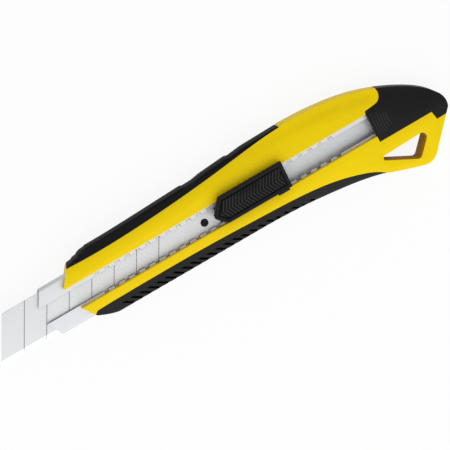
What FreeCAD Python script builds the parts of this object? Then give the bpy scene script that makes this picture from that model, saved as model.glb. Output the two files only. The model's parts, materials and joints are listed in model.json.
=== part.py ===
"""Snap-off utility knife with an 18 mm segmented blade, lying on its back with the slider on top.

Frame: +X runs from the blade tip to the tail, +Y from the cutting edge to the spine, +Z out of the slider
face. The outlines below are drawn from the blade's own lines: x from the tip of the full blade and y from the
blade's centre line. export() shifts them so that the origin lies under the middle of the whole knife.
All lengths are millimetres.
"""
import FreeCAD
import Part
import os

# Driving dimensions
ORIGIN_X, ORIGIN_Y = 99.65, -3.1      # middle of the knife's outline, from the blade's lines
BODY_THICK = 11.5                     # handle, back face to slider face
TAIL_BACK = 1.5                       # the tail around the loop is thinner, by this much at the back
NOSE_LEAN = 1.4                       # the front ends lean back by this much from face to back
PANEL_DEEP = 0.5                      # blank sunk panel on the back
RAIL_BOTTOM, RAIL_TOP = 5.0, 9.0      # steel channel, outside
RAIL_HALF = 9.9                       # half the channel's outside width
STEEL = 0.5                           # sheet of the channel
LIP_EDGE = 3.4                        # inner edge of each lip from the centre line
RAIL_FRONT, RAIL_REAR = 22.1, 171.0
RAIL_PLAY = 0.05                      # moulded channel around the steel one
NOTCHES, NOTCH_PITCH, NOTCH_FIRST = 24, 4.55, 47.2
NOTCH_LONG, NOTCH_DEEP = 2.0, 1.2
SLOT_LOW, SLOT_HIGH = -4.3, 5.6       # sides of the slot in the slider face
SKIN = 1.7                            # rubber laid over the two faces of the handle
GRIP_SLOTS, GRIP_PITCH, GRIP_FIRST = 23, 3.76, 50.8
GRIP_SLOT_WIDE, GRIP_SLOT_DEEP, GRIP_SLOT_LEAN = 1.6, 1.4, 1.6
RIDGE_SLOPE = 0.08                    # fall of the narrow ridge along the spine
BLADE_HALF, BLADE_THICK, BLADE_BOTTOM = 9.0, 0.5, 7.4
BEVEL_WIDE, EDGE_LAND = 1.7, 0.06
SCORES, SCORE_PITCH = 7, 10.0
SCORE_WIDE, SCORE_DEEP = 0.4, 0.15
PEG_X, PEG_Y, PEG_R, PEG_HOLE_R, PEG_TOP = 94.3, -0.2, 1.45, 1.6, 8.4
BLADE_REAR = 100.0
SLIDE_PLAY = 0.1                      # carrier in the steel channel
PRESS = 1.1                           # travel of the thumb button
BUTTON_TOP = 15.0
RIM, RIM_GAP, SEAT_DEEP, PAD_SUNK = 1.5, 0.45, 0.9, 0.3
CAP_GAP = 0.15

V = FreeCAD.Vector
UP = V(0, 0, 1)


def face_of(start, steps):
    """A flat face: each step is one point (a straight run) or a list of points (a smooth curve)."""
    edges, here = [], V(*start)
    for step in steps + [start]:
        if isinstance(step, list):
            points = [here] + [V(*p) for p in step]
            curve = Part.BSplineCurve()
            curve.interpolate(points)
            edges.append(curve.toShape())
            here = points[-1]
        elif (V(*step) - here).Length > 1e-6:
            edges.append(Part.makeLine(here, V(*step)))
            here = V(*step)
    return Part.Face(Part.Wire(edges))


def prism(face, low, high):
    """The face, raised from z = low to z = high."""
    lifted = face.copy()
    lifted.translate(UP * low)
    return lifted.extrude(UP * (high - low))


def polygon(points):
    return Part.Face(Part.makePolygon([V(*p) for p in points + points[:1]]))


def box(x0, x1, y0, y1, z0, z1):
    return Part.makeBox(x1 - x0, y1 - y0, z1 - z0, V(x0, y0, z0))


def round_corners(solid, radius, pick):
    """Fillets the edges whose centre passes the test pick(edge)."""
    return solid.makeFillet(radius, [e for e in solid.Edges if pick(e)])


def upright(edge):
    box_ = edge.BoundBox
    return box_.ZLength > 0.5 and box_.XLength < 1e-4 and box_.YLength < 1e-4


# Outlines ------------------------------------------------------------------------------------------------

UPPER_SEAM = [(58.0, 11.85), (77.6, 12.7), (97.1, 14.15), (116.7, 16.25), (128.0, 17.5), (137.4, 18.1)]
TAIL_SPINE = [(146.7, 18.15), (156.5, 17.3), (166.2, 15.7), (178.3, 11.9), (190.0, 6.05), (196.4, 1.25),
              (199.3, -2.2)]
TAIL_BELLY = [(175.3, -22.15), (166.6, -19.2)]
CORE_BELLY = [(155.8, -14.6), (146.1, -13.3), (130.0, -11.9), (112.0, -11.5), (90.0, -11.5)]
LOWER_SEAM = [(77.5, -7.8), (97.0, -8.1), (116.5, -8.8), (135.9, -9.9), (147.0, -11.5), (156.7, -14.1),
              (161.4, -15.9), (164.3, -17.5), (166.6, -19.2)]
LOWER_EDGE = [(155.8, -16.6), (146.1, -15.2), (136.4, -14.15), (124.0, -13.35), (108.3, -13.1)]
# Upper facet: x, crease on the face, valley beside the spine ridge, and how far the valley lies below the face
FACET = [(20, 9.0, 13.0, 1.3), (58, 9.4, 13.2, 1.3), (97, 10.0, 14.9, 1.7), (116.5, 11.5, 16.4, 1.8),
         (136, 12.4, 17.1, 1.9), (150, 11.3, 15.9, 2.0), (163.5, 8.1, 13.9, 2.2), (176.4, 2.6, 10.8, 2.5),
         (186.6, -3.6, 5.6, 2.6), (203, -5.5, -4.5, 1.0)]


def core_face():
    """Plan of the moulded handle without its rubber."""
    return face_of((33.9, 6.0), [
        (38.4, 12.1), UPPER_SEAM, (137.8, 18.35), TAIL_SPINE, [(200.1, -4.7), (199.7, -8.0)],
        (191.3, -17.4), (187.0, -22.2), [(184.0, -23.9), (180.4, -23.7)], TAIL_BELLY,
        (164.9, -18.1), CORE_BELLY, (45.5, -11.5), (39.9, -9.1), (36.0, -3.6)])


def lower_grip_face():
    return face_of((39.9, -9.1), [
        (41.3, -8.1), (48.3, -7.9), LOWER_SEAM, LOWER_EDGE, (49.4, -12.95), [(45.4, -11.8), (40.5, -9.8)]])


def upper_grip_face():
    return face_of((38.4, 12.1), [
        UPPER_SEAM, (136.9, 18.4), (121.4, 18.05), (115.2, 17.35), (113.6, 17.75), (101.9, 16.8),
        (98.0, 16.1), (94.1, 16.0), (93.0, 16.4), [(78.5, 15.8), (62.0, 15.2), (48.4, 15.0)], (46.0, 14.8),
        (44.6, 14.3), (43.9, 13.8), (42.0, 13.5), (41.3, 13.0), (39.4, 12.8)])


def cap_face(gap=0.0):
    """Plan of the end cap; gap grows it into the room the handle leaves for it."""
    return face_of((169.4 - gap, -6.6 - gap), [
        (169.4 - gap, 5.6 + gap), [(169.8 - gap, 6.5 + gap), (170.8, 6.75 + gap)], (174.6, 7.1 + gap),
        [(176.9, 8.1 + gap), (177.9, 9.9), (178.0 - gap, 11.5)], (178.0 - gap, 14.0), (206.0, 14.0),
        (206.0, -10.1 - gap), (193.6 - gap, -10.1 - gap), (192.9 - gap, -6.6 - gap)])


def facet_cutter():
    """What the sloping upper facet and the spine ridge take off the slider face, from the crease outwards."""
    far, above = 34.0, BODY_THICK + 3
    rings = []
    for x, crease, valley, fall in FACET:
        half_way = (crease + valley) / 2
        low = BODY_THICK - fall
        rings.append(Part.makePolygon([
            V(x, crease, BODY_THICK), V(x, half_way, BODY_THICK - 0.37 * fall), V(x, valley, low),
            V(x, far, low - RIDGE_SLOPE * (far - valley)), V(x, far, above), V(x, crease, above),
            V(x, crease, BODY_THICK)]))
    return Part.makeLoft(rings, True, True)


def facets():
    """The slider-side facet and the same facet mirrored on the back."""
    front = facet_cutter()
    back = front.mirror(V(0, 0, BODY_THICK / 2), UP)
    return [front, back]


def nose_cutter(plan):
    """Trims a front end so that it leans back towards the tail from the slider face to the back."""
    lifted = polygon(plan)
    lifted.translate(UP * BODY_THICK)
    return lifted.extrude(V(NOSE_LEAN, -0.4 * NOSE_LEAN, -BODY_THICK))


UPPER_NOSE = [(20, 6.0), (33.9, 6.0), (38.4, 12.1), (39.4, 12.8), (41.3, 13.0), (42.0, 13.5), (43.9, 13.8),
              (44.6, 14.3), (46.0, 14.8), (48.4, 15.0), (48.4, 30), (20, 30)]


# Handle --------------------------------------------------------------------------------------------------

def loop_hole():
    """Triangular hanging hole through the tail, its corners rounded."""
    hole = prism(polygon([(167.7, -12.4), (189.2, -11.7), (180.6, -20.9), (167.3, -14.0)]), -1, BODY_THICK + 1)
    hole = round_corners(hole, 1.8, lambda e: upright(e) and e.CenterOfMass.x > 175)
    return round_corners(hole, 0.7, lambda e: upright(e) and e.CenterOfMass.x < 168)


def rail_room():
    """The straight channel that the steel one slides into."""
    half = RAIL_HALF + RAIL_PLAY
    return box(20, 175, -half, half, RAIL_BOTTOM - RAIL_PLAY, RAIL_TOP + RAIL_PLAY)


def handle_body():
    """Yellow moulding: a channel for the steel rail, open at both ends, with the tail and its loop."""
    body = prism(core_face(), 0, BODY_THICK)
    recess = lower_grip_face()
    body = body.cut([prism(recess, BODY_THICK - SKIN, BODY_THICK + 1), prism(recess, -1, SKIN)])
    body = body.cut(facets())
    body = body.cut(prism(cap_face(CAP_GAP), -1, BODY_THICK + 1))
    slot = box(20, 175, SLOT_LOW, SLOT_HIGH, RAIL_TOP, BODY_THICK + 1)
    panel = round_corners(box(62, 140, -5.0, 7.5, -1, PANEL_DEEP), 3.0, upright)
    body = body.cut([rail_room(), slot, panel, loop_hole(), nose_cutter(UPPER_NOSE)])
    # The tail beside the cap is thinner than the handle, which lightens the loop
    tail = polygon([(168.5, -9.6), (191.6, -10.4), (203, -10.4), (203, -30), (160, -30), (166.5, -12.0)])
    return body.cut(prism(tail, -1, TAIL_BACK))


def upper_grip():
    """Soft rubber along the front of the spine, in two raised pads."""
    grip = prism(upper_grip_face(), 0, BODY_THICK).cut(facets())
    edge_cut = polygon([(30, 14.5), (60, 14.7), (100, 16.0), (145, 18.6), (145, 30), (30, 30)])
    steps = [prism(edge_cut, BODY_THICK - 2.6, BODY_THICK + 1), prism(edge_cut, -1, 2.6)]
    return grip.cut(steps + [nose_cutter(UPPER_NOSE)])


def slot_plan(x, top, bottom):
    """One slanted grip slot between two heights, leaning back towards the tail."""
    lean = GRIP_SLOT_LEAN
    return polygon([(x, top), (x + GRIP_SLOT_WIDE, top),
                    (x + GRIP_SLOT_WIDE + lean * (top - bottom), bottom), (x + lean * (top - bottom), bottom)])


def lower_grip():
    """Soft rubber wrapped round the belly of the handle, with slanted slots in face, edge and back."""
    grip = prism(lower_grip_face(), 0, BODY_THICK)
    rim = [e for e in grip.Edges if abs(e.BoundBox.ZLength) < 1e-4 and e.CenterOfMass.y < -12.4]
    grip = grip.makeFillet(1.3, rim)
    grip = grip.cut(prism(core_face(), SKIN, BODY_THICK - SKIN))
    tops = {9: -10.2, 14: -10.5, 18: -11.0, 21: -11.7, 23: -12.6}
    cuts = []
    for i in range(GRIP_SLOTS):
        top = next(y for last, y in tops.items() if i < last)
        start = GRIP_FIRST + i * GRIP_PITCH
        cuts.append(prism(slot_plan(start, top, -19), BODY_THICK - GRIP_SLOT_DEEP, BODY_THICK + 1))
        cuts.append(prism(slot_plan(start, top, -19), -1, GRIP_SLOT_DEEP))
    return grip.cut(cuts + [rail_room()])


# Steel channel -------------------------------------------------------------------------------------------

def blade_rail():
    """Folded steel channel with a notched lip along each side of its open face."""
    def section(half, low, high, bend):
        ring = box(RAIL_FRONT, RAIL_REAR, -half, half, low, high)
        return round_corners(ring, bend, lambda e: e.BoundBox.XLength > 100)

    outer = section(RAIL_HALF, RAIL_BOTTOM, RAIL_TOP, 0.9)
    inner = section(RAIL_HALF - STEEL, RAIL_BOTTOM + STEEL, RAIL_TOP - STEEL, 0.4)
    mouth = box(0, 200, -LIP_EDGE, LIP_EDGE, RAIL_TOP - 1, RAIL_TOP + 1)
    cuts = [inner, mouth]
    for side in (1, -1):
        cuts.append(prism(polygon([(15, side * 3.9), (RAIL_FRONT, side * 3.9), (25.5, side * 9.9),
                                   (25.5, side * 12), (15, side * 12)]), 0, 12))
        for i in range(NOTCHES):
            x = NOTCH_FIRST + i * NOTCH_PITCH
            notch = [(x, side * 3.0), (x + 0.15, side * (LIP_EDGE + NOTCH_DEEP)),
                     (x + NOTCH_LONG - 0.15, side * (LIP_EDGE + NOTCH_DEEP)), (x + NOTCH_LONG, side * 3.0)]
            cuts.append(prism(polygon(notch), RAIL_TOP - 1, RAIL_TOP + 1))
    return outer.cut(cuts)


# Blade and what carries it ----------------------------------------------------------------------------------

def blade():
    """Segmented blade: ground on both sides of its lower edge and scored across for snapping."""
    top = BLADE_BOTTOM + BLADE_THICK
    middle = BLADE_BOTTOM + BLADE_THICK / 2
    ring = [(-3, -BLADE_HALF, middle - EDGE_LAND / 2), (-3, -BLADE_HALF + BEVEL_WIDE, BLADE_BOTTOM),
            (-3, BLADE_HALF, BLADE_BOTTOM), (-3, BLADE_HALF, top),
            (-3, -BLADE_HALF + BEVEL_WIDE, top), (-3, -BLADE_HALF, middle + EDGE_LAND / 2)]
    strip = polygon(ring).extrude(V(BLADE_REAR + 3, 0, 0))
    lean = 9.9 / 17.8
    tip = -1.1

    def across(x, y):
        return x + lean * (y + BLADE_HALF)

    front = polygon([(-9, -11), (across(tip, -11), -11), (across(tip, 11), 11), (-9, 11)])
    cuts = [prism(front, 0, 12)]
    for i in range(1, SCORES + 1):
        x = tip - 0.05 + i * SCORE_PITCH
        half = SCORE_WIDE / 2
        groove = polygon([(across(x, -11) - half, -11), (across(x, -11) + half, -11),
                          (across(x, 11) + half, 11), (across(x, 11) - half, 11)])
        cuts.append(prism(groove, top - SCORE_DEEP, top + 1))
    cuts.append(Part.makeCylinder(PEG_HOLE_R, 4, V(PEG_X, PEG_Y, BLADE_BOTTOM - 2)))
    for side in (1, -1):
        cuts.append(prism(polygon([(BLADE_REAR - 3, side * 9.5), (BLADE_REAR + 1, side * 5),
                                   (BLADE_REAR + 1, side * 9.5)]), 0, 12))
    return strip.cut(cuts)


def blade_carrier():
    """Moulded slider in the channel: a tongue with a peg under the blade and a cradle behind it."""
    half = RAIL_HALF - STEEL - 0.25
    low, high = RAIL_BOTTOM + STEEL + SLIDE_PLAY, RAIL_TOP - STEEL - SLIDE_PLAY
    tongue = box(86, 98, -7.5, 7.5, low, BLADE_BOTTOM - 0.05)
    tongue = round_corners(tongue, 2.0, lambda e: upright(e) and e.CenterOfMass.x < 90)
    neck = box(97, 103, -2.4, 1.6, low, BLADE_BOTTOM - 0.05)
    cradle = box(102.8, 130.9, -half, half, low, high)
    pocket = box(104.2, 130, -5.2, 5.2, low + 0.6, high + 1)
    peg = Part.makeCylinder(PEG_R, PEG_TOP - low, V(PEG_X, PEG_Y, low))
    peg = round_corners(peg, 0.3, lambda e: e.CenterOfMass.z > PEG_TOP - 0.1)
    return tongue.fuse([neck, cradle, peg]).cut(pocket).removeSplitter()


def lock_spring():
    """Leaf of spring steel in the cradle; the upright ears of its two sides stand in a pair of lip notches."""
    leaf = box(104.9, 129.8, -2.9, 2.9, 7.45, 7.8)
    root = box(128.2, 129.6, -2.9, 2.9, 6.25, 7.5)
    notch = NOTCH_FIRST + 14 * NOTCH_PITCH
    ears = []
    for side in (1, -1):
        y0, y1 = sorted((side * 2.8, side * 4.4))
        ears.append(box(notch + 0.3, notch + NOTCH_LONG - 0.3, y0, y1, 7.45, 7.8))
        y0, y1 = sorted((side * 3.9, side * 4.4))
        ears.append(box(notch + 0.3, notch + NOTCH_LONG - 0.3, y0, y1, 7.45, 8.95))
    return leaf.fuse([root] + ears).removeSplitter()


def button_plan(inset=0.0):
    """Plan of the thumb button, pointed towards the blade and square at the rear, drawn in by inset."""
    plan = polygon([(98.0, 0.3), (98.1, 1.7), (102.7, 7.4), (130.8, 7.4), (130.4, -3.6), (101.8, -3.6)])
    return plan.makeOffset2D(-inset) if inset else plan


def thumb_button():
    """Button that rides above the slot and stands on the lock spring through it."""
    shelf = BODY_THICK + PRESS + 0.35
    foot = RAIL_TOP + PRESS + 0.25
    head = prism(button_plan(), shelf, BUTTON_TOP)
    head = round_corners(head, 0.35, lambda e: abs(e.CenterOfMass.z - BUTTON_TOP) < 1e-3)
    waist = prism(button_plan(1.0), foot, shelf).common(
        box(90, 140, SLOT_LOW + 0.3, SLOT_HIGH - 0.3, foot, shelf))
    stem = box(104.9, 117.5, -2.9, 2.9, 7.85, foot)
    lug = box(124.2, 129.1, -4.5, -3.0, shelf, BUTTON_TOP - 0.9)
    seat = prism(button_plan(RIM), BUTTON_TOP - SEAT_DEEP, BUTTON_TOP + 1)
    return head.fuse([waist, stem, lug]).cut(seat).removeSplitter()


def button_pad():
    """Rubber pad let into the button, with a groove round it; its top lies a little below the rim."""
    return prism(button_plan(RIM + RIM_GAP), BUTTON_TOP - SEAT_DEEP, BUTTON_TOP - PAD_SUNK)


def end_cap():
    """Black cap over the rear top corner; its two prongs enter the steel channel under the lips."""
    cap = prism(core_face(), 0, BODY_THICK).common(prism(cap_face(), -1, BODY_THICK + 1))
    cap = cap.cut(facets())
    low, high = RAIL_BOTTOM + STEEL + 0.2, RAIL_TOP - STEEL - 0.2
    half = RAIL_HALF + 0.15
    pocket = box(165, RAIL_REAR + 0.2, -half, half, RAIL_BOTTOM - 0.15, BODY_THICK - 1.3)
    prongs = [box(164.8, 174, side * 5.3 - 1.1, side * 5.3 + 1.1, low, high) for side in (1, -1)]
    return cap.cut(pocket).fuse(prongs).removeSplitter()


# Files -----------------------------------------------------------------------------------------------------

PIECES = [handle_body, upper_grip, lower_grip, blade_rail, blade, blade_carrier, lock_spring,
          thumb_button, button_pad, end_cap]


def export():
    os.makedirs("parts", exist_ok=True)
    for piece in PIECES:
        shape = piece()
        shape.translate(V(-ORIGIN_X, -ORIGIN_Y, 0))
        shape.exportStep("parts/" + piece.__name__ + ".step")
        print(piece.__name__, shape.isValid(), len(shape.Solids), round(shape.Volume, 1))


export()
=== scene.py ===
import bmesh
import bpy
import json
import math
from mathutils import Matrix, Vector


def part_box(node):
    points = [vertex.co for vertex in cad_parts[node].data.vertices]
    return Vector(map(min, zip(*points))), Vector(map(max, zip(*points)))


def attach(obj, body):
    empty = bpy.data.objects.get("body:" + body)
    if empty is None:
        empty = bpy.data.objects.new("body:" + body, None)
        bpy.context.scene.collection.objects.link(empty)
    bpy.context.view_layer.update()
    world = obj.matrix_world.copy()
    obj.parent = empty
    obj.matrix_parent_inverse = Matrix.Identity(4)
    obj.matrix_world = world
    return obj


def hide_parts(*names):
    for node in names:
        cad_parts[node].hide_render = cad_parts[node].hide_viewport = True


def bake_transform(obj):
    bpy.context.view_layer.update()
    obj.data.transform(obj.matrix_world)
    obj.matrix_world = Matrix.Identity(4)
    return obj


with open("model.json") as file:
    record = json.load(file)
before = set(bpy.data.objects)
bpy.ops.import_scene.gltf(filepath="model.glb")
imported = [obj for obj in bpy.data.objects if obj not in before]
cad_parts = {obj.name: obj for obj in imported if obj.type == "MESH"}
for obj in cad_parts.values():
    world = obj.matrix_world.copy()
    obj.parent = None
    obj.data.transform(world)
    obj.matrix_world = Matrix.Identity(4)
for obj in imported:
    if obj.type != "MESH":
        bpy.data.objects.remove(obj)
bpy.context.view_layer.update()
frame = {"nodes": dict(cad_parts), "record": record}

MM = 0.001


# Steel channel --------------------------------------------------------------------------------------------
# Folded from half-millimetre bright sheet and pushed into the handle from the rear. Both lips are notched
# every 4.55 mm for the slider's lock, and the sheet keeps the fine lines of its rolling.

def node_group(name, inputs, outputs):
    """A shader node group with sockets given as {name: (type, default)}; returns it and its two ends."""
    group = bpy.data.node_groups.new(name, "ShaderNodeTree")
    for label, (kind, default) in inputs.items():
        socket = group.interface.new_socket(name=label, in_out="INPUT", socket_type=kind)
        socket.default_value = default
    for label, kind in outputs.items():
        group.interface.new_socket(name=label, in_out="OUTPUT", socket_type=kind)
    return group, group.nodes.new("NodeGroupInput"), group.nodes.new("NodeGroupOutput")


def rolled_lines():
    """Fine lines along X, as rolling or grinding leaves them: a height, and a value for roughness and tone."""
    group, inlet, outlet = node_group(
        "rolled_lines",
        {"Across": ("NodeSocketFloat", 9000.0), "Along": ("NodeSocketFloat", 60.0)},
        {"Height": "NodeSocketFloat", "Tone": "NodeSocketFloat"})
    nodes, link = group.nodes, group.links.new
    place = nodes.new("ShaderNodeTexCoord")
    stretch = nodes.new("ShaderNodeCombineXYZ")
    link(inlet.outputs["Along"], stretch.inputs["X"])
    link(inlet.outputs["Across"], stretch.inputs["Y"])
    link(inlet.outputs["Across"], stretch.inputs["Z"])
    scaled = nodes.new("ShaderNodeVectorMath")
    scaled.operation = "MULTIPLY"
    link(place.outputs["Object"], scaled.inputs[0])
    link(stretch.outputs["Vector"], scaled.inputs[1])
    lines = nodes.new("ShaderNodeTexNoise")
    lines.inputs["Scale"].default_value = 1.0
    lines.inputs["Detail"].default_value = 3.0
    link(scaled.outputs["Vector"], lines.inputs["Vector"])
    cloud = nodes.new("ShaderNodeTexNoise")
    cloud.inputs["Scale"].default_value = 55.0
    cloud.inputs["Detail"].default_value = 2.0
    link(place.outputs["Object"], cloud.inputs["Vector"])
    share_of_lines = 0.45
    both = nodes.new("ShaderNodeMath")
    both.operation = "MULTIPLY_ADD"
    both.inputs[1].default_value = share_of_lines
    link(lines.outputs["Fac"], both.inputs[0])
    weak = nodes.new("ShaderNodeMath")
    weak.operation = "MULTIPLY"
    weak.inputs[1].default_value = 1 - share_of_lines
    link(cloud.outputs["Fac"], weak.inputs[0])
    link(weak.outputs["Value"], both.inputs[2])
    link(lines.outputs["Fac"], outlet.inputs["Height"])
    link(both.outputs["Value"], outlet.inputs["Tone"])
    return group


ROLLED = rolled_lines()


def ranged(material, value, low, high):
    """A Map Range node that carries 0.3..0.7 of a noise value to low..high."""
    node = material.node_tree.nodes.new("ShaderNodeMapRange")
    node.inputs["From Min"].default_value = 0.3
    node.inputs["From Max"].default_value = 0.7
    node.inputs["To Min"].default_value = low
    node.inputs["To Max"].default_value = high
    material.node_tree.links.new(value, node.inputs["Value"])
    return node.outputs["Result"]


def two_tones(material, value, dark, light):
    """A colour that runs from dark to light with a noise value."""
    ramp = material.node_tree.nodes.new("ShaderNodeValToRGB")
    ramp.color_ramp.elements[0].position = 0.32
    ramp.color_ramp.elements[0].color = (*dark, 1)
    ramp.color_ramp.elements[1].position = 0.68
    ramp.color_ramp.elements[1].color = (*light, 1)
    material.node_tree.links.new(value, ramp.inputs["Fac"])
    return ramp.outputs["Color"]


def raised(material, height, distance, strength=1.0):
    """A Bump node over a height."""
    bump = material.node_tree.nodes.new("ShaderNodeBump")
    bump.inputs["Distance"].default_value = distance
    bump.inputs["Strength"].default_value = strength
    material.node_tree.links.new(height, bump.inputs["Height"])
    return bump.outputs["Normal"]


def steel(name, dark, light, smooth, rough, across=9000.0):
    """Bright sheet steel with lines along X."""
    material = bpy.data.materials.new(name)
    material.use_nodes = True
    shader = material.node_tree.nodes["Principled BSDF"]
    link = material.node_tree.links.new
    shader.inputs["Metallic"].default_value = 0.75
    lines = material.node_tree.nodes.new("ShaderNodeGroup")
    lines.node_tree = ROLLED
    lines.inputs["Across"].default_value = across
    link(two_tones(material, lines.outputs["Tone"], dark, light), shader.inputs["Base Color"])
    link(ranged(material, lines.outputs["Tone"], smooth, rough), shader.inputs["Roughness"])
    link(raised(material, lines.outputs["Height"], 0.00001, 0.4), shader.inputs["Normal"])
    return material


def painted(mesh, material, chosen):
    """Gives the faces that chosen(middle in mm, normal) picks a second material."""
    mesh.materials.append(material)
    for face in mesh.polygons:
        if chosen(face.center / MM, face.normal):
            face.material_index = len(mesh.materials) - 1


# Points nearer than this are one, and edges that turn by more than this stay crisp
MERGE = 0.002 * MM
SHARP = math.radians(35)


def finished(node, name, material, edge=0.0, steps=2, paint=(), bends=None):
    """The CAD node as one closed mesh with its sharp edges softened by edge mm; stands for the node.
    """
    mesh = frame["nodes"][node].data.copy()
    mesh.name = name
    work = bmesh.new()
    work.from_mesh(mesh)
    bmesh.ops.remove_doubles(work, verts=work.verts, dist=MERGE)
    bmesh.ops.dissolve_limit(work, angle_limit=math.radians(0.5), verts=work.verts, edges=work.edges)
    if bends:
        root, tip = Vector(bends[2]), Vector(bends[3])
        cuts = 10
        for i in range(cuts + 1):
            bmesh.ops.bisect_plane(work, geom=work.verts[:] + work.edges[:] + work.faces[:],
                                   plane_co=root.lerp(tip, i / cuts), plane_no=(1, 0, 0))
    work.to_mesh(mesh)
    work.free()
    mesh.materials.clear()
    mesh.materials.append(material)
    for second, chosen in paint:
        painted(mesh, second, chosen)
    if "custom_normal" in mesh.attributes:
        mesh.attributes.remove(mesh.attributes["custom_normal"])
    piece = bpy.data.objects.new(name, mesh)
    bpy.context.scene.collection.objects.link(piece)
    if edge:
        bevel = piece.modifiers.new("edge", "BEVEL")
        bevel.width = edge * MM
        bevel.segments = steps
        bevel.limit_method = "ANGLE"
        bevel.angle_limit = SHARP
        bevel.use_clamp_overlap = True
        bevel.miter_outer = "MITER_ARC"
        bpy.context.view_layer.update()
        bare = bpy.data.meshes.new_from_object(piece.evaluated_get(bpy.context.evaluated_depsgraph_get()))
        piece.modifiers.clear()
        piece.data = bare
    piece.data.shade_smooth()
    piece.data.set_sharp_from_angle(angle=SHARP)
    body = next(b for b, members in frame["record"]["behaviour"]["bodies"].items() if node in members)
    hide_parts(node)
    if bends:
        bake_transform(piece)
    else:
        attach(piece, body)
    return piece


# Middle line of the channel across the knife, in mm
RAIL_Y = 3.1


def on_notch_walls(middle, normal):
    """The cut walls of the notches in the lips, which take a darker steel as painted shade."""
    return abs(normal.z) < 0.3 and middle.z > 8.4 and abs(middle.y - RAIL_Y) < 4.8


rail_steel = steel("rail_steel", (0.52, 0.53, 0.55), (0.57, 0.58, 0.60), 0.44, 0.54)
# The notch walls take a darker copy of the rail steel: painted shade along the lips' cut edges.
cut_steel_painted_shade = steel("rail_steel_cut_painted_shade", (0.32, 0.32, 0.34), (0.38, 0.38, 0.40), 0.5, 0.6)
finished("blade_rail", "steel_channel", rail_steel, edge=0.08, steps=1,
         paint=[(cut_steel_painted_shade, on_notch_walls)])


# Handle ---------------------------------------------------------------------------------------------------
# One yellow moulding with a channel for the steel rail, open at both ends, and a hanging loop in its tail.
# The plastic is a semi-gloss ABS with a fine spark-eroded grain and the light scuffs of use.

def moulded_grain():
    """Spark-eroded grain and broad unevenness of a moulding: a height, a fine value and a broad value."""
    group, inlet, outlet = node_group(
        "moulded_grain",
        {"Grain": ("NodeSocketFloat", 2600.0), "Broad": ("NodeSocketFloat", 30.0)},
        {"Height": "NodeSocketFloat", "Fine": "NodeSocketFloat", "Broad": "NodeSocketFloat"})
    nodes, link = group.nodes, group.links.new
    place = nodes.new("ShaderNodeTexCoord")
    fine = nodes.new("ShaderNodeTexNoise")
    fine.inputs["Detail"].default_value = 2.0
    link(place.outputs["Object"], fine.inputs["Vector"])
    link(inlet.outputs["Grain"], fine.inputs["Scale"])
    pits = nodes.new("ShaderNodeTexVoronoi")
    pits.feature = "SMOOTH_F1"
    link(place.outputs["Object"], pits.inputs["Vector"])
    link(inlet.outputs["Grain"], pits.inputs["Scale"])
    height = nodes.new("ShaderNodeMath")
    height.operation = "ADD"
    link(fine.outputs["Fac"], height.inputs[0])
    link(pits.outputs["Distance"], height.inputs[1])
    broad = nodes.new("ShaderNodeTexNoise")
    broad.inputs["Detail"].default_value = 3.0
    link(place.outputs["Object"], broad.inputs["Vector"])
    link(inlet.outputs["Broad"], broad.inputs["Scale"])
    link(height.outputs["Value"], outlet.inputs["Height"])
    link(fine.outputs["Fac"], outlet.inputs["Fine"])
    link(broad.outputs["Fac"], outlet.inputs["Broad"])
    return group


GRAIN = moulded_grain()


def moulded(name, dark, light, smooth, rough, grain, relief, specular):
    """Plastic or rubber with a moulded grain."""
    material = bpy.data.materials.new(name)
    material.use_nodes = True
    shader = material.node_tree.nodes["Principled BSDF"]
    shader.inputs["Specular IOR Level"].default_value = specular
    link = material.node_tree.links.new
    skin = material.node_tree.nodes.new("ShaderNodeGroup")
    skin.node_tree = GRAIN
    skin.inputs["Grain"].default_value = grain
    link(two_tones(material, skin.outputs["Broad"], dark, light), shader.inputs["Base Color"])
    link(ranged(material, skin.outputs["Broad"], smooth, rough), shader.inputs["Roughness"])
    link(raised(material, skin.outputs["Height"], relief * MM), shader.inputs["Normal"])
    return material


def round_the_loop(middle, normal):
    """The walls of the hanging loop and the tail's outer wall close beside it, given a painted shade."""
    return abs(normal.z) < 0.3 and 66 < middle.x < 92 and -19.5 < middle.y < -7.5 and 1 < middle.z < 11


yellow_plastic = moulded(
    "yellow_plastic", (0.88, 0.63, 0.0005), (0.91, 0.66, 0.0005), 0.40, 0.50, 2600, 0.003, 0.10)
# A darker copy of the yellow on the loop walls and the tail wall beside them: painted shade in the hollow.
inner_yellow_painted_shade = moulded(
    "yellow_plastic_inner_painted_shade", (0.50, 0.27, 0.0005), (0.54, 0.30, 0.0005), 0.5, 0.6, 2600, 0.003, 0.04)
finished("handle_body", "handle_moulding", yellow_plastic, edge=0.35, steps=3,
         paint=[(inner_yellow_painted_shade, round_the_loop)])


# Grips ----------------------------------------------------------------------------------------------------
# Soft black rubber moulded over the handle: one strip along the front of the spine in raised pads, and one
# round the belly with slanted finger slots.

def on_slot_floors(middle, normal):
    """The floors of the finger slots, which take a near-black rubber as painted shade."""
    return 9.5 < middle.z < 10.4 and abs(normal.z) > 0.9


black_rubber = moulded(
    "black_rubber", (0.008, 0.008, 0.009), (0.011, 0.011, 0.012), 0.55, 0.66, 1800, 0.010, 0.05)
# The belly strip is the same black rubber painted lighter: a painted sheen on its rounded face.
belly_rubber_painted_sheen = moulded(
    "black_rubber_belly_painted_sheen", (0.018, 0.018, 0.019), (0.024, 0.024, 0.025), 0.50, 0.60, 1800, 0.010, 0.08)
# Near-black rubber on the slot floors: painted shade in the recesses.
slot_rubber_painted_shade = moulded(
    "black_rubber_slots_painted_shade", (0.003, 0.003, 0.003), (0.004, 0.004, 0.004), 0.70, 0.80, 1800, 0.010, 0.05)
finished("upper_grip", "spine_grip", black_rubber, edge=0.3, steps=2)
finished("lower_grip", "belly_grip", belly_rubber_painted_sheen, edge=0.12, steps=1,
         paint=[(slot_rubber_painted_shade, on_slot_floors)])


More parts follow.
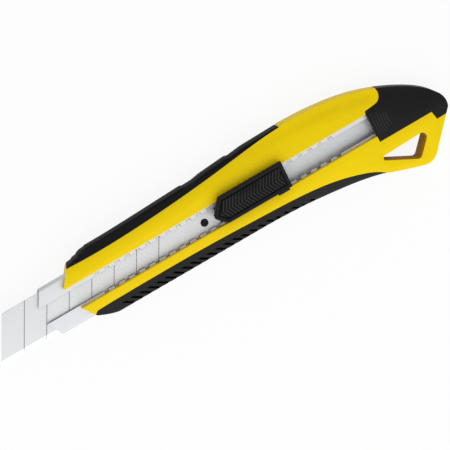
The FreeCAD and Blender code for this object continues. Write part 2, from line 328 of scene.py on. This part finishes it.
# Blade ----------------------------------------------------------------------------------------------------
# Standard snap-off blade of carbon steel, scored every 10 mm and ground to a smoother bevel along its edge.
# The bevel's near-white colour is a painted highlight, and the dark steel in the scores painted shade.
# Its tang is hooked over the carrier's peg.

def in_the_scores(middle, normal):
    """The floors and walls of the score lines, which take a darker steel as painted shade."""
    return 7.7 < middle.z < 7.88 and (normal.z > 0.999 or abs(normal.x) > 0.5)


def on_the_bevel(middle, normal):
    """The ground bevel, leaning a little from the blade's flat; its near-white steel is a painted highlight.
    """
    return 0.9 < abs(normal.z) < 0.9995


blade_steel = steel("blade_steel", (0.49, 0.50, 0.51), (0.54, 0.55, 0.56), 0.44, 0.52, 14000.0)
# A darker steel in the score lines: painted shade in the grooves.
score_steel_painted_shade = steel("blade_steel_scores_painted_shade", (0.26, 0.26, 0.28), (0.32, 0.32, 0.34), 0.5, 0.6, 14000.0)
# A near-white steel on the bevel: a painted highlight, with the smoother finish of grinding.
ground_steel_painted_highlight = steel("blade_steel_ground_painted_highlight", (0.86, 0.87, 0.88), (0.92, 0.93, 0.94), 0.30, 0.38, 20000.0)
finished("blade", "segmented_blade", blade_steel,
         paint=[(score_steel_painted_shade, in_the_scores), (ground_steel_painted_highlight, on_the_bevel)])


# Carrier, spring and button -------------------------------------------------------------------------------
# The carrier and the button are black plastic; the leaf spring between them is blued steel and bends when the
# button goes down. The button's pad is rubber with chevron ridges that point towards the blade.

black_plastic = moulded(
    "black_plastic", (0.008, 0.008, 0.009), (0.011, 0.011, 0.012), 0.45, 0.55, 2400, 0.004, 0.09)
spring_steel = steel("spring_steel", (0.30, 0.31, 0.34), (0.42, 0.43, 0.46), 0.25, 0.35)
finished("blade_carrier", "carrier", black_plastic, edge=0.15, steps=1)
leaf_root, leaf_tip = (0.0285, 0.0031, 0.0076), (0.0185, 0.0031, 0.0076)
finished("lock_spring", "leaf_spring", spring_steel, edge=0.05, steps=1,
         bends=("carriage", "thumb", leaf_root, leaf_tip))
finished("thumb_button", "button", black_plastic, edge=0.18, steps=2)
finished("button_pad", "pad", black_rubber, edge=0.15, steps=1)


def tree_of(name, sizes, material):
    """A Geometry Nodes tree; returns it, its inlet, and functions that add a node to it and end it."""
    tree = bpy.data.node_groups.new(name, "GeometryNodeTree")
    tree.interface.new_socket(name="Geometry", in_out="INPUT", socket_type="NodeSocketGeometry")
    for label, default in sizes.items():
        kind = "NodeSocketInt" if isinstance(default, int) else "NodeSocketFloat"
        tree.interface.new_socket(name=label, in_out="INPUT", socket_type=kind).default_value = default
    tree.interface.new_socket(name="Geometry", in_out="OUTPUT", socket_type="NodeSocketGeometry")
    inlet, outlet = tree.nodes.new("NodeGroupInput"), tree.nodes.new("NodeGroupOutput")

    def add(kind, links=None, **values):
        node = tree.nodes.new(kind)
        for key, value in values.items():
            setattr(node, key, value)
        for socket, source in (links or {}).items():
            if isinstance(source, bpy.types.NodeSocket):
                tree.links.new(source, node.inputs[socket])
            else:
                node.inputs[socket].default_value = source
        return node

    def end(geometry):
        whole = add("GeometryNodeRealizeInstances", {0: geometry})
        finish = add("GeometryNodeSetMaterial", {0: whole.outputs[0], "Material": material})
        tree.links.new(finish.outputs[0], outlet.inputs[0])

    return tree, inlet, add, end


def chevron_tree(material):
    """Rows of mitred ridges along X, each bent back on both sides of its apex, trimmed to the given solid."""
    tree, inlet, add, end = tree_of("chevron_ridges", {
        "Ridges": 20, "Pitch": 0.00138, "Reach": 0.008, "Sweep": 0.577, "Wide": 0.0009, "Tall": 0.0004,
        "First X": 0.0, "Apex Y": 0.0, "Foot Z": 0.0}, material)
    size = inlet.outputs
    bar = add("GeometryNodeMeshCube", {
        "Size": add("ShaderNodeCombineXYZ", {
            "X": size["Wide"], "Y": size["Reach"], "Z": size["Tall"]}).outputs[0],
        "Vertices Y": 3})
    spot = add("ShaderNodeSeparateXYZ", {0: add("GeometryNodeInputPosition").outputs[0]})
    out = add("ShaderNodeMath", {0: spot.outputs["Y"]}, operation="ABSOLUTE")
    back = add("ShaderNodeMath", {0: out.outputs[0], 1: size["Sweep"]}, operation="MULTIPLY")
    above = add("ShaderNodeMath", {0: spot.outputs["Z"], 1: 0.0}, operation="GREATER_THAN")
    top_loses = 0.45
    narrow = add("ShaderNodeMath", {0: above.outputs[0], 1: -top_loses}, operation="MULTIPLY")
    taper = add("ShaderNodeMath", {0: narrow.outputs[0], 1: spot.outputs["X"], 2: back.outputs[0]},
                operation="MULTIPLY_ADD")
    ridge = add("GeometryNodeSetPosition", {
        0: bar.outputs["Mesh"],
        "Offset": add("ShaderNodeCombineXYZ", {"X": taper.outputs[0]}).outputs[0]})
    row = add("GeometryNodeMeshLine", {
        "Count": size["Ridges"],
        "Start Location": add("ShaderNodeCombineXYZ", {
            "X": size["First X"], "Y": size["Apex Y"], "Z": size["Foot Z"]}).outputs[0],
        "Offset": add("ShaderNodeCombineXYZ", {"X": size["Pitch"]}).outputs[0]})
    ridges = add("GeometryNodeInstanceOnPoints", {0: row.outputs[0], "Instance": ridge.outputs[0]})
    bars = add("GeometryNodeRealizeInstances", {0: ridges.outputs[0]})
    trimmed = add("GeometryNodeMeshBoolean", operation="INTERSECT", solver="EXACT")
    tree.links.new(size["Geometry"], trimmed.inputs["Mesh 2"])
    tree.links.new(bars.outputs[0], trimmed.inputs["Mesh 2"])
    end(trimmed.outputs[0])
    return tree


def grown(name, base, tree, values, body):
    """What the tree makes of the base mesh with the given sizes, as a plain piece that rides the body."""
    holder = bpy.data.objects.new(name + "_rule", base)
    bpy.context.scene.collection.objects.link(holder)
    rule = holder.modifiers.new("rule", "NODES")
    rule.node_group = tree
    for socket in tree.interface.items_tree:
        if socket.in_out == "INPUT" and socket.name in values:
            rule[socket.identifier] = values[socket.name]
    bpy.context.view_layer.update()
    mesh = bpy.data.meshes.new_from_object(holder.evaluated_get(bpy.context.evaluated_depsgraph_get()))
    holder.modifiers.clear()
    bpy.data.objects.remove(holder)
    mesh.name = name
    mesh.shade_smooth()
    mesh.set_sharp_from_angle(angle=SHARP)
    piece = bpy.data.objects.new(name, mesh)
    bpy.context.scene.collection.objects.link(piece)
    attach(piece, body)
    return piece


# The ridges are the pad's black rubber painted a little lighter: a painted highlight on their crests.
ridge_rubber_painted_highlight = moulded(
    "black_rubber_ridges_painted_highlight", (0.018, 0.018, 0.019), (0.023, 0.023, 0.024), 0.45, 0.55, 1800, 0.006, 0.15)
pad_low, pad_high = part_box("button_pad")
pad_solid = frame["nodes"]["button_pad"].data.copy()
pad_solid.materials.clear()
ridge_rise = 0.27 * MM
weld = bmesh.new()
weld.from_mesh(pad_solid)
bmesh.ops.remove_doubles(weld, verts=weld.verts, dist=MERGE)
bmesh.ops.translate(weld, verts=weld.verts, vec=(0, 0, ridge_rise))
weld.to_mesh(pad_solid)
weld.free()
grown("pad_ridges", pad_solid, chevron_tree(ridge_rubber_painted_highlight), {
    "Ridges": 22, "First X": pad_low.x - 1.0 * MM, "Apex Y": (RAIL_Y + 1.4) * MM,
    "Foot Z": pad_high.z + 0.08 * MM, "Reach": 16 * MM}, "thumb")


# End cap --------------------------------------------------------------------------------------------------
# Black plastic cap over the rear top corner. Two prongs moulded on it slide under the lips of the steel
# channel and hold it by friction, and six low bowed ribs on its face give it a grip.

finished("end_cap", "tail_cap", black_plastic, edge=0.4, steps=3)


def rib_tree(material):
    """Low ribs one behind another along X, each long along Y, slightly bowed and fading at both ends."""
    tree, inlet, add, end = tree_of("cap_ribs", {
        "Ribs": 6, "Pitch": 0.00112, "Half Length": 0.0052, "Half Width": 0.00028, "Tall": 0.00028,
        "Bow": 14.0, "First X": 0.0, "Middle Y": 0.0, "Foot Z": 0.0}, material)
    size = inlet.outputs
    ball = add("GeometryNodeMeshUVSphere", {"Segments": 16, "Rings": 24, "Radius": 1.0})
    across = add("GeometryNodeTransform", {
        0: ball.outputs["Mesh"], "Rotation": (math.pi / 2, 0, 0)})
    rod = add("GeometryNodeTransform", {
        0: across.outputs[0],
        "Scale": add("ShaderNodeCombineXYZ", {
            "X": size["Half Width"], "Y": size["Half Length"], "Z": size["Tall"]}).outputs[0]})
    spot = add("ShaderNodeSeparateXYZ", {0: add("GeometryNodeInputPosition").outputs[0]})
    square = add("ShaderNodeMath", {0: spot.outputs["Y"], 1: spot.outputs["Y"]}, operation="MULTIPLY")
    bow = add("ShaderNodeMath", {0: square.outputs[0], 1: size["Bow"]}, operation="MULTIPLY")
    bowed = add("GeometryNodeSetPosition", {
        0: rod.outputs[0], "Offset": add("ShaderNodeCombineXYZ", {"X": bow.outputs[0]}).outputs[0]})
    row = add("GeometryNodeMeshLine", {
        "Count": size["Ribs"],
        "Start Location": add("ShaderNodeCombineXYZ", {
            "X": size["First X"], "Y": size["Middle Y"], "Z": size["Foot Z"]}).outputs[0],
        "Offset": add("ShaderNodeCombineXYZ", {"X": size["Pitch"]}).outputs[0]})
    fade = add("ShaderNodeMapRange", {
        "Value": add("GeometryNodeInputIndex").outputs[0], "From Min": 0.0, "From Max": size["Ribs"],
        "To Min": 1.0, "To Max": 0.45})
    ribs = add("GeometryNodeInstanceOnPoints", {
        0: row.outputs[0], "Instance": bowed.outputs[0],
        "Scale": add("ShaderNodeCombineXYZ", {
            "X": 1.0, "Y": fade.outputs[0], "Z": fade.outputs[0]}).outputs[0]})
    end(ribs.outputs[0])
    return tree


# The ribs are the cap's black plastic painted a little lighter: a painted highlight along them.
rib_plastic_painted_highlight = moulded(
    "black_plastic_ribs_painted_highlight", (0.022, 0.022, 0.023), (0.027, 0.027, 0.028), 0.42, 0.52, 2400, 0.004, 0.12)
grown("cap_ribs", bpy.data.meshes.new("cap_ribs_rule"), rib_tree(rib_plastic_painted_highlight), {
    "First X": 71.05 * MM, "Middle Y": (RAIL_Y + 0.1) * MM, "Foot Z": 11.5 * MM},
    "cap")


# Studio ---------------------------------------------------------------------------------------------------
# A white table under one large soft lamp that stands on the belly side. The pale surroundings fill the
# shadows, and rays from the eye and from mirrors see them and the table as white or nearly so.

key_light = bpy.data.lights.new("key", "AREA")
key_light.shape = "DISK"
key_light.size = 2.4
key_light.energy = 17.0
key = bpy.data.objects.new("key", key_light)
key.location = (-0.30, -1.0, 1.0)
key.rotation_euler = (-key.location).to_track_quat("-Z", "Y").to_euler()
bpy.context.scene.collection.objects.link(key)


def rays_that_look(tree):
    """1 for rays from the eye and for mirror and glass rays, 0 for the rays that light things."""
    path = tree.nodes.new("ShaderNodeLightPath")
    total = path.outputs["Is Camera Ray"]
    for kind in ("Is Glossy Ray", "Is Transmission Ray"):
        add = tree.nodes.new("ShaderNodeMath")
        add.operation = "ADD"
        add.use_clamp = True
        tree.links.new(total, add.inputs[0])
        tree.links.new(path.outputs[kind], add.inputs[1])
        total = add.outputs[0]
    return total


world = bpy.data.worlds.new("studio")
bpy.context.scene.world = world
world.use_nodes = True
sky = world.node_tree.nodes["Background"]
sky.inputs["Color"].default_value = (1, 1, 1, 1)
level = world.node_tree.nodes.new("ShaderNodeMapRange")
level.inputs["To Min"].default_value = 0.62
level.inputs["To Max"].default_value = 1.0
world.node_tree.links.new(rays_that_look(world.node_tree), level.inputs["Value"])
world.node_tree.links.new(level.outputs["Result"], sky.inputs["Strength"])

table_mesh = bpy.data.meshes.new("table")
half_table = 6.0
table_mesh.from_pydata([(-half_table, -half_table, 0), (half_table, -half_table, 0),
                        (half_table, half_table, 0), (-half_table, half_table, 0)], [], [(0, 1, 2, 3)])
table = bpy.data.objects.new("table", table_mesh)
bpy.context.scene.collection.objects.link(table)
white = bpy.data.materials.new("table_white")
white.use_nodes = True
matt = white.node_tree.nodes["Principled BSDF"]
matt.inputs["Base Color"].default_value = (0.9, 0.9, 0.9, 1)
matt.inputs["Roughness"].default_value = 0.9
glow = white.node_tree.nodes.new("ShaderNodeEmission")
share = white.node_tree.nodes.new("ShaderNodeMath")
share.operation = "MULTIPLY"
share.inputs[1].default_value = 0.9
white.node_tree.links.new(rays_that_look(white.node_tree), share.inputs[0])
mix = white.node_tree.nodes.new("ShaderNodeMixShader")
white.node_tree.links.new(share.outputs[0], mix.inputs["Fac"])
white.node_tree.links.new(matt.outputs["BSDF"], mix.inputs[1])
white.node_tree.links.new(glow.outputs["Emission"], mix.inputs[2])
white.node_tree.links.new(mix.outputs["Shader"], white.node_tree.nodes["Material Output"].inputs["Surface"])
table_mesh.materials.append(white)

# Camera: a long lens above the slider face, leaning towards the spine and the blade, and rolled so that the
# knife climbs to the right
LENS, SENSOR, FIELD = 300.0, 36.0, 0.174
aim = Vector((1.21, -1.92, 8.15)) * MM
toward = Vector((-0.1218, 0.240, 0.0))
toward.z = math.sqrt(1 - toward.length_squared)
climb = math.radians(30.25)
flat_x = (Vector((1, 0, 0)) - toward * toward.x).normalized()
flat_y = toward.cross(flat_x)
right = flat_x * math.cos(climb) - flat_y * math.sin(climb)
up = flat_x * math.sin(climb) + flat_y * math.cos(climb)
eye = bpy.data.cameras.new("eye")
eye.lens, eye.sensor_width = LENS, SENSOR
eye.clip_end = 20.0
camera = bpy.data.objects.new("eye", eye)
distance = FIELD * LENS / SENSOR
camera.matrix_world = Matrix.LocRotScale(
    aim + toward * distance, Matrix((right, up, toward)).transposed(), None)
bpy.context.scene.collection.objects.link(camera)
bpy.context.scene.camera = camera
bpy.context.scene.view_settings.view_transform = "Standard"
